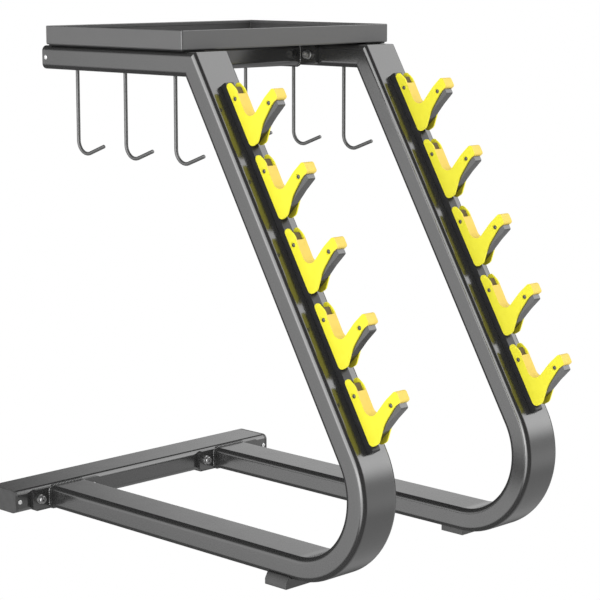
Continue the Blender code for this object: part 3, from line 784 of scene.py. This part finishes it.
def make_hooks():
    for stem, side in SIDES:
        for place in ("front", "middle", "rear"):
            node = f"{stem}_{place}_hook"
            low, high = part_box(node)
            radius = (high.x - low.x) / 2
            path = hook_path(low, high, radius)
            rod = mesh_piece(f"{node}_rod", hook_mesh(node, path, radius, side * FRAME_X))
            finish_piece(rod, HOOK_PAINT, "hook_steel", node, sharp=50)
            profile = [(0.0, -COLLAR_DEPTH), *((radius + reach, z) for reach, z in COLLAR), (0.0, 0.0)]
            rail_point = (side * FRAME_X, path[0].x, rail_low.z)
            collar_mesh = turned(f"{node}_weld", profile, 28)
            collar = mesh_piece(f"{node}_weld", collar_mesh, Matrix.Translation(rail_point))
            finish_piece(collar, HOOK_PAINT, "hook_steel", sharp=80)


# ---------------------------------------------------------------- cradles

SADDLE_WIDTH = 0.027
CORE_WIDTH = 0.020
POCKET_CLEARANCE = 0.0003
SADDLE_EDGE = 0.0014
CORE_EDGE = 0.0010
OUTLINE_STEP = 6
SCREW_PLACES = ((0.0240, -0.0025), (0.1037, -0.0535))
SCREW_RADIUS = 0.0042
SCREW_HEIGHT = 0.0020
COUNTERBORE_RADIUS = 0.0060
COUNTERBORE_DEPTH = 0.0018

# The faces with painted shade. The seat takes a darker, paler yellow: painted shade and painted sheen. Below
# INSIDE_PAINTED_SHADE_TOP a saddle's inner walls take a darker yellow: painted shade. A core's front faces
# that rise past
# RECESS_PAINTED_SHADE_FOOT, behind the seat's top, take a brown: painted shade and painted bounce light from
# the yellow.
SEAT_SHADE_MARGIN = 0.0002
INSIDE_PAINTED_SHADE_MARGIN = 0.001
INSIDE_PAINTED_SHADE_TOP = -0.004
RECESS_PAINTED_SHADE_FOOT = 0.015

# (out from the upright's face, along it from the upper screw, corner radius). The corners and radii are the
# CAD's, apart from two low corners of the core, which are sharp there and rounded here.
SADDLE_OUTLINE = (
    (0.0156, 0.0325, 0.007),
    (0.0280, 0.0325, 0.008),
    (0.0372, 0.0130, 0.030),
    (0.0360, -0.0628, 0.019),
    (0.0970, -0.0398, 0.060),
    (0.1316, -0.0320, 0.007),
    (0.1316, -0.0568, 0.0045),
    (0.1120, -0.0592, 0.030),
    (0.0700, -0.0790, 0.080),
    (0.0385, -0.1065, 0.014),
    (0.0156, -0.1065, 0.011),
)
CORE_OUTLINE = (
    (0.0154, 0.0220, 0.003),
    (0.0316, 0.0220, 0.005),
    (0.0316, -0.0685, 0.021),
    (0.0970, -0.0443, 0.060),
    (0.1235, -0.0385, 0.003),
    (0.1235, -0.0690, 0.004),
    (0.0900, -0.0780, 0.040),
    (0.0500, -0.0920, 0.040),
    (0.0154, -0.1010, 0.003),
)
POCKET_OUTLINE = (
    (0.0050, 0.0500, 0.0),
    (0.0450, 0.0500, 0.0),
    (0.0450, 0.0025, 0.0),
    (0.0319, 0.0025, 0.0),
    (0.0319, -0.0682, 0.0207),
    (0.0970, -0.0440, 0.0597),
    (0.1238, -0.0382, 0.003),
    (0.1238, -0.1200, 0.0),
    (0.0050, -0.1200, 0.0),
)


def cradle_matrix(side, along):
    place = on_upright(along, 0)
    return Matrix((
        (0, 0, -1, side * FRAME_X),
        (OUT.y, UP.y, 0, place.y),
        (OUT.z, UP.z, 0, place.z),
        (0, 0, 0, 1),
    ))


def colour_saddle(mesh):
    """Gives the seat and the inner walls darker colours of painted shade, with painted sheen on the seat. The
    mesh is split where the inner walls' painted shade begins.
    """
    bm = bmesh.new()
    bm.from_mesh(mesh)
    everything = [*bm.verts, *bm.edges, *bm.faces]
    bmesh.ops.bisect_plane(bm, geom=everything, plane_co=(0, INSIDE_PAINTED_SHADE_TOP, 0), plane_no=(0, 1, 0))
    bm.to_mesh(mesh)
    bm.free()
    for material in (SADDLE_YELLOW, SADDLE_SEAT_SHADE_AND_SHEEN, SADDLE_INSIDE_PAINTED_SHADE):
        mesh.materials.append(material)
    half_seat_shade = CORE_WIDTH / 2 - SEAT_SHADE_MARGIN
    half_inside_painted_shade = CORE_WIDTH / 2 + INSIDE_PAINTED_SHADE_MARGIN
    for face in mesh.polygons:
        centre, normal = face.center, face.normal
        # Painted shade and painted sheen on the seat's faces.
        if abs(normal.z) < 0.2 and abs(centre.z) < half_seat_shade:
            face.material_index = 1
        # Painted shade on the inner walls below the seat.
        elif abs(normal.z) > 0.8 and abs(centre.z) < half_inside_painted_shade and centre.y < INSIDE_PAINTED_SHADE_TOP:
            face.material_index = 2


def saddle_mesh():
    """The liner with its core pocket, screw counterbores and softly rounded edges."""
    block = extruded("saddle", rounded(SADDLE_OUTLINE, OUTLINE_STEP), SADDLE_WIDTH)
    saddle = mesh_piece("saddle", block)
    pocket_width = CORE_WIDTH + 2 * POCKET_CLEARANCE
    saddle = boolean(saddle, extruded("pocket", rounded(POCKET_OUTLINE, OUTLINE_STEP), pocket_width))
    for out, along in SCREW_PLACES:
        for face in (-1, 1):
            place = Matrix.Translation((out, along, face * SADDLE_WIDTH / 2))
            counterbore = cylinder(COUNTERBORE_RADIUS, 2 * COUNTERBORE_DEPTH, 28)
            saddle = boolean(saddle, counterbore, matrix=place)
    soften(saddle, SADDLE_EDGE, 3, 40)
    mesh = baked(saddle)
    colour_saddle(mesh)
    return mesh


def core_mesh():
    """The steel V arm that a saddle wraps."""
    core = mesh_piece("core", extruded("core", rounded(CORE_OUTLINE, OUTLINE_STEP), CORE_WIDTH))
    soften(core, CORE_EDGE, 3, 40)
    mesh = baked(core)
    mesh.materials.append(CRADLE_PAINT)
    # Painted shade: the core's front faces in the recess behind the seat's top take a brown that stands in
    # for shade and bounced yellow light.
    mesh.materials.append(CRADLE_PAINTED_SHADE)
    for face in mesh.polygons:
        top = max(mesh.vertices[index].co.y for index in face.vertices)
        if face.normal.x > 0.3 and top > RECESS_PAINTED_SHADE_FOOT:
            face.material_index = 1
    return mesh


def cradle_along(high):
    """Where a cradle's upper screw is along the upright, from the highest point of its saddle."""
    outline = rounded(SADDLE_OUTLINE, 24)
    heights = [(OUT * a + UP * b).z for a, b in outline]
    base_z = high.z - max(heights)
    return (base_z - FACE_FOOT.z) / UP.z


def make_cradle_screws(name, place, mesh):
    """The screws of one cradle, each on the floor of its counterbore."""
    half = SADDLE_WIDTH / 2 - COUNTERBORE_DEPTH
    for index, (out, along) in enumerate(SCREW_PLACES):
        for face, label in ((-1, "right"), (1, "left")):
            seat = place @ Vector((out, along, face * half))
            obj = mesh_piece(f"{name}_screw_{label}_{index + 1}", mesh, aimed(seat, (-face, 0, 0)))
            finish_piece(obj, SCREW_BLACK, "bolt_steel")


def make_cradles():
    core = core_mesh()
    saddle = saddle_mesh()
    screw = screw_mesh(SCREW_RADIUS, SCREW_HEIGHT)
    for stem, side in SIDES:
        for number in range(1, 6):
            core_node = f"{stem}_cradle_core_{number}"
            saddle_node = f"{stem}_cradle_saddle_{number}"
            place = cradle_matrix(side, cradle_along(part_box(saddle_node)[1]))
            arm = mesh_piece(f"{core_node}_steel", placed(core, place))
            finish_piece(arm, CRADLE_PAINT, "cradle_paint", core_node)
            liner = mesh_piece(f"{saddle_node}_liner", placed(saddle, place))
            finish_piece(liner, SADDLE_YELLOW, "yellow_urethane", saddle_node)
            make_cradle_screws(f"{stem}_cradle_{number}", place, screw)


STRIP_THICKNESS = 0.015
STRIP_GAP = 0.0003
STRIP_BACK_CORNER = 0.0015
STRIP_FACE_CORNER = 0.003
STRIP_EDGE = 0.0012


def make_strips():
    """The black strip down the middle of each upright's front face, under its cradles."""
    for stem, side in SIDES:
        node = f"{stem}_backing_strip"
        low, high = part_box(node)
        # The box of a leaning bar of length L and thickness t is L cos + t sin high.
        length = ((high.z - low.z) - STRIP_THICKNESS * math.sin(LEAN)) / math.cos(LEAN)
        start = (low.z - FACE_FOOT.z) / UP.z
        outline = rounded([
            (STRIP_GAP, 0, STRIP_BACK_CORNER),
            (STRIP_THICKNESS, 0, STRIP_FACE_CORNER),
            (STRIP_THICKNESS, length, STRIP_FACE_CORNER),
            (STRIP_GAP, length, STRIP_BACK_CORNER),
        ], 15)
        mesh = extruded(node, outline, high.x - low.x)
        obj = mesh_piece(f"{node}_black", placed(mesh, cradle_matrix(side, start)))
        soften(obj, STRIP_EDGE, 3)
        finish_piece(obj, STRIP_BLACK, "black_plastic", node)


# ---------------------------------------------------------------- feet


FOOT_FLANK = 0.012
FOOT_LIP_X = 0.3015
FOOT_GAP = 0.0003
FOOT_ARC_START = -29
FOOT_ARC_END = -90
FOOT_ARC_STEPS = 8
FRONT_FOOT_EDGE = 0.0016
REAR_FOOT_EDGE = 0.003


def front_foot_mesh(node):
    """A block under the right rail that hugs the tube's lower outer corner: its section, extruded along Y."""
    low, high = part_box(node)
    inner = min(abs(low.x), abs(high.x))
    outer = max(abs(low.x), abs(high.x))
    corner = Vector((FRAME_X + TUBE_WIDTH / 2 - TUBE_CORNER, frame_low.z + TUBE_CORNER))
    arc = []
    for step in range(FOOT_ARC_STEPS + 1):
        turn = math.radians(FOOT_ARC_START + (FOOT_ARC_END - FOOT_ARC_START) * step / FOOT_ARC_STEPS)
        arc.append(corner + Vector((math.cos(turn), math.sin(turn))) * (TUBE_CORNER + FOOT_GAP))
    outline = [
        Vector((inner, 0)),
        Vector((outer, 0)),
        Vector((outer, FOOT_FLANK)),
        Vector((FOOT_LIP_X, arc[0].y)),
        *arc,
        Vector((inner, frame_low.z - FOOT_GAP)),
    ]
    obj = mesh_piece(node, extruded(node, outline, high.y - low.y))
    soften(obj, FRONT_FOOT_EDGE, 3, 35)
    mesh = baked(obj)
    along = Matrix.Translation((0, (low.y + high.y) / 2, 0))
    mesh.transform(along @ Matrix.Rotation(math.pi / 2, 4, "X"))
    return mesh


def make_feet():
    for stem, side in SIDES:
        node = f"{stem}_front_foot"
        mesh = front_foot_mesh(node)
        if side < 0:
            mesh.transform(Matrix.Scale(-1, 4, X_AXIS))
            mesh.flip_normals()
        obj = mesh_piece(f"{node}_rubber", mesh)
        finish_piece(obj, FOOT_RUBBER, "rubber", node)

        node = f"{stem}_rear_foot"
        low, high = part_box(node)
        obj = mesh_piece(f"{node}_rubber", box(low, high))
        soften(obj, REAR_FOOT_EDGE, 4)
        finish_piece(obj, FOOT_RUBBER, "rubber", node)


# ---------------------------------------------------------------- floor, light and camera

FLOOR_HALF = 30
FLOOR_DROP = 0.0006


def make_floor():
    """A plain white surface, just under the feet. It is left out of mirror rays and casts no shadow."""
    made = bpy.data.materials.new("floor_white")
    made.use_nodes = True
    tree = made.node_tree
    tree.nodes.clear()
    glow = tree.nodes.new("ShaderNodeEmission")
    glow.inputs["Color"].default_value = (1, 1, 1, 1)
    glow.inputs["Strength"].default_value = 1.0
    output = tree.nodes.new("ShaderNodeOutputMaterial")
    tree.links.new(glow.outputs["Emission"], output.inputs["Surface"])
    bm = bmesh.new()
    bmesh.ops.create_grid(bm, x_segments=1, y_segments=1, size=FLOOR_HALF)
    floor = mesh_piece("floor", mesh_from(bm, "floor"), Matrix.Translation((0, 0, -FLOOR_DROP)))
    floor.data.materials.append(made)
    floor.visible_glossy = False
    floor.visible_shadow = False


# The studio: a dim room with soft panels. Each panel is (direction, half angle of its bright middle, half
# angle at which it has faded out, radiance).
AMBIENT = 0.95
ROOM_BELOW, ROOM_ABOVE = 0.14, 0.03
PANELS = (
    ((-0.88, 0.46, -0.02), 16, 38, 1.18),
    ((-0.92, -0.10, 0.30), 20, 36, 2.60),
    ((-0.92, -0.36, -0.17), 12, 26, 2.20),
    ((0.76, -0.36, 0.56), 20, 36, 2.10),
    ((0.80, 0.56, 0.22), 8, 21, 0.84),
    ((0.78, -0.62, 0.08), 12, 32, 0.68),
    ((0.72, -0.20, -0.64), 20, 45, 0.45),
)


def added(tree, first, second):
    node = tree.nodes.new("ShaderNodeMath")
    node.operation = "ADD"
    tree.links.new(first, node.inputs[0])
    tree.links.new(second, node.inputs[1])
    return node.outputs["Value"]


def panel_light(tree, direction_output, panel):
    """A panel's radiance in each direction: bright in its middle, and fading out to its outer angle."""
    direction, inner, outer, radiance = panel
    dot = tree.nodes.new("ShaderNodeVectorMath")
    dot.operation = "DOT_PRODUCT"
    dot.inputs[1].default_value = Vector(direction).normalized()
    tree.links.new(direction_output, dot.inputs[0])
    fade = tree.nodes.new("ShaderNodeMapRange")
    fade.interpolation_type = "SMOOTHSTEP"
    fade.inputs["From Min"].default_value = math.cos(math.radians(outer))
    fade.inputs["From Max"].default_value = math.cos(math.radians(inner))
    fade.inputs["To Max"].default_value = radiance
    tree.links.new(dot.outputs["Value"], fade.inputs["Value"])
    return fade.outputs["Result"]


def make_world():
    """White for camera rays, one even level for diffuse rays, and the studio for mirror rays."""
    world = bpy.data.worlds.new("studio")
    world.use_nodes = True
    bpy.context.scene.world = world
    tree = world.node_tree
    tree.nodes.clear()
    place = tree.nodes.new("ShaderNodeTexCoord")
    split = tree.nodes.new("ShaderNodeSeparateXYZ")
    tree.links.new(place.outputs["Generated"], split.inputs["Vector"])
    level = mapped(tree, split.outputs["Z"], ROOM_BELOW, ROOM_ABOVE, -1, 1)
    for panel in PANELS:
        level = added(tree, level, panel_light(tree, place.outputs["Generated"], panel))
    studio = tree.nodes.new("ShaderNodeBackground")
    tree.links.new(level, studio.inputs["Color"])
    white = tree.nodes.new("ShaderNodeBackground")
    white.inputs["Color"].default_value = (1, 1, 1, 1)
    ambient = tree.nodes.new("ShaderNodeBackground")
    ambient.inputs["Color"].default_value = (*grey(AMBIENT), 1)
    rays = tree.nodes.new("ShaderNodeLightPath")
    soft = tree.nodes.new("ShaderNodeMixShader")
    tree.links.new(rays.outputs["Is Diffuse Ray"], soft.inputs["Fac"])
    tree.links.new(studio.outputs["Background"], soft.inputs[1])
    tree.links.new(ambient.outputs["Background"], soft.inputs[2])
    mix = tree.nodes.new("ShaderNodeMixShader")
    output = tree.nodes.new("ShaderNodeOutputWorld")
    tree.links.new(rays.outputs["Is Camera Ray"], mix.inputs["Fac"])
    tree.links.new(soft.outputs["Shader"], mix.inputs[1])
    tree.links.new(white.outputs["Background"], mix.inputs[2])
    tree.links.new(mix.outputs["Shader"], output.inputs["Surface"])


# (name, place, width, power in watts). Both are aimed at the middle of the rack.
SOFT_BOXES = (
    ("left_soft_box", (-3.6, -0.6, 2.2), 2.6, 9),
    ("front_soft_box", (1.0, -3.6, 2.6), 2.0, 12),
)
RACK_MIDDLE = Vector((0, 0, 0.55))


def make_lights():
    """Square soft boxes for diffuse light only: they are left out of mirror rays."""
    for name, place, width, power in SOFT_BOXES:
        light = bpy.data.lights.new(name, "AREA")
        light.shape = "RECTANGLE"
        light.size = width
        light.size_y = width
        light.energy = power
        obj = bpy.data.objects.new(name, light)
        bpy.context.scene.collection.objects.link(obj)
        obj.location = place
        obj.rotation_euler = (RACK_MIDDLE - Vector(place)).to_track_quat("-Z", "Y").to_euler()
        obj.visible_glossy = False


CAMERA_PLACE = (-3.0000, -3.0028, 1.2234)
CAMERA_AZIMUTH = math.radians(-45.337)
CAMERA_DROP = math.radians(9.580)
CAMERA_LENS = 120.54
SENSOR_WIDTH = 36


def make_camera():
    data = bpy.data.cameras.new("camera")
    data.lens = CAMERA_LENS
    data.sensor_width = SENSOR_WIDTH
    camera = bpy.data.objects.new("camera", data)
    bpy.context.scene.collection.objects.link(camera)
    camera.location = CAMERA_PLACE
    camera.rotation_euler = (math.pi / 2 - CAMERA_DROP, 0, CAMERA_AZIMUTH)
    bpy.context.scene.camera = camera


make_camera()
make_world()
make_lights()
make_floor()
make_tubes()
make_joints()
make_tray()
make_hooks()
make_strips()
make_cradles()
make_feet()
bpy.context.scene.view_settings.view_transform = "Standard"
